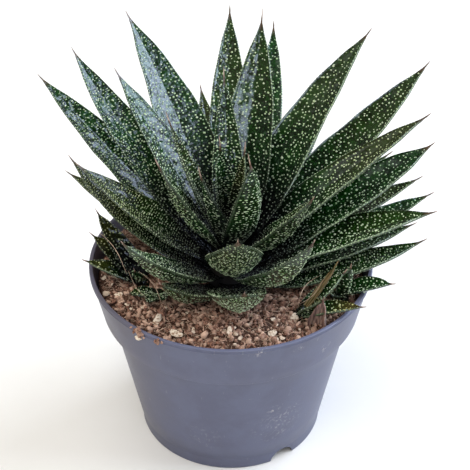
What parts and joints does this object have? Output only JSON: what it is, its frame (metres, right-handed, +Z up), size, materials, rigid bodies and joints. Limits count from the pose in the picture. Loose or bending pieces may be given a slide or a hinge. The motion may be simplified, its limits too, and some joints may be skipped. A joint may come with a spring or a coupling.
{
  "type": "potted succulent",
  "caption": "Rosette of thick pointed keeled leaves with small offsets at its foot, planted in soil in a round tapered nursery pot with a deep collar.",
  "frame": {"origin": "middle of the pot's underside, on the plane that the pot stands on", "axes": "+Z up along the pot's axis, +Y away from the side seen in the picture, +X to the right in it"},
  "size_m": [0.1725, 0.1558, 0.1736],
  "materials": {
    "pot_plastic": "thin moulded polypropylene, lilac grey, satin, lightly scuffed",
    "soil_fibre": "damp brown peat and coir with pale stone chips",
    "stem_tissue": "woody stem, matte",
    "leaf_green": "dark green succulent leaf, satin, covered in raised pale dots, pale edges",
    "offset_green": "young dark green leaves with pale dots, some dry and brown"
  },
  "bodies": {
    "root": {"pot": "pot_plastic", "soil": "soil_fibre", "stem": "stem_tissue", "leaf_01": "leaf_green", "leaf_02": "leaf_green", "leaf_03": "leaf_green", "leaf_04": "leaf_green", "leaf_05": "leaf_green", "leaf_06": "leaf_green", "leaf_07": "leaf_green", "leaf_08": "leaf_green", "leaf_09": "leaf_green", "leaf_10": "leaf_green", "leaf_11": "leaf_green", "leaf_12": "leaf_green", "leaf_13": "leaf_green", "leaf_14": "leaf_green", "leaf_15": "leaf_green", "leaf_16": "leaf_green", "leaf_17": "leaf_green", "leaf_18": "leaf_green", "leaf_19": "leaf_green", "leaf_20": "leaf_green", "leaf_21": "leaf_green", "leaf_22": "leaf_green", "leaf_23": "leaf_green", "leaf_24": "leaf_green", "leaf_25": "leaf_green", "leaf_26": "leaf_green", "leaf_27": "leaf_green", "leaf_28": "leaf_green", "leaf_29": "leaf_green", "leaf_30": "leaf_green", "leaf_31": "leaf_green", "leaf_32": "leaf_green", "leaf_33": "leaf_green", "leaf_34": "leaf_green", "leaf_35": "leaf_green", "leaf_36": "leaf_green", "leaf_37": "leaf_green", "offset_left": "offset_green", "offset_front": "offset_green", "offset_right": "offset_green", "offset_rear": "offset_green"}
  },
  "joints": []
}
